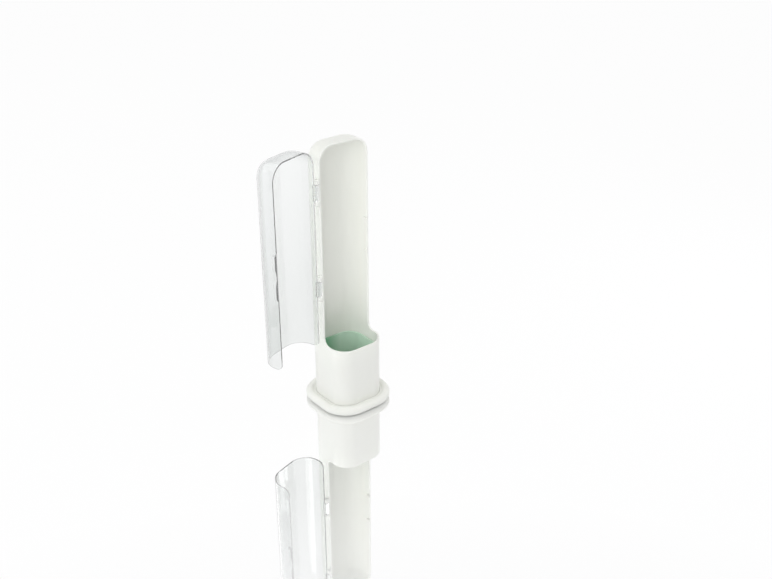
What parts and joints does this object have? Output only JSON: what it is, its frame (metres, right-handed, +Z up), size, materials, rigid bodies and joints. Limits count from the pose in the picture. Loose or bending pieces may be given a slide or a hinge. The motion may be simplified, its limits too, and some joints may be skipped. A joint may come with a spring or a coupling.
{
  "type": "herb keeper",
  "caption": "Tall rounded-square herb keeper: white case with a clear swing door, a lift-out green water cup and a wide lipped foot.",
  "frame": {"origin": "centre of the flat face of the pad that the keeper stands on", "axes": "+Z up, the open front of the case faces -Y, the door's hinge is on the -X edge"},
  "size_m": [0.1469, 0.0872, 0.308],
  "materials": {
    "white_plastic": "satin moulded white plastic",
    "clear_plastic": "clear colourless polished plastic",
    "green_plastic": "translucent green plastic",
    "pin_steel": "ground steel wire",
    "seal_rubber": "soft light grey silicone",
    "pad_rubber": "soft grey non-slip silicone"
  },
  "bodies": {
    "foot": {"base_foot": "white_plastic", "base_seal": "seal_rubber", "grip_pad": "pad_rubber"},
    "case": {"case_shell": "white_plastic", "hinge_pin_lower": "pin_steel", "hinge_pin_upper": "pin_steel"},
    "door": {"door": "clear_plastic"},
    "cup": {"water_cup": "green_plastic"}
  },
  "joints": [
    {"name": "case_lift", "type": "slide", "parent": "foot", "child": "case", "axis": [0, 0, 1], "range_m": [0, 0.075]},
    {"name": "door_hinge", "type": "hinge", "parent": "case", "child": "door", "pos_m": [-0.035, 0, 0.204], "axis": [0, 0, -1], "range_deg": [-164, 11]},
    {"name": "cup_lift", "type": "slide", "parent": "foot", "child": "cup", "axis": [0, 0, 1], "range_m": [0, 0.075]}
  ]
}
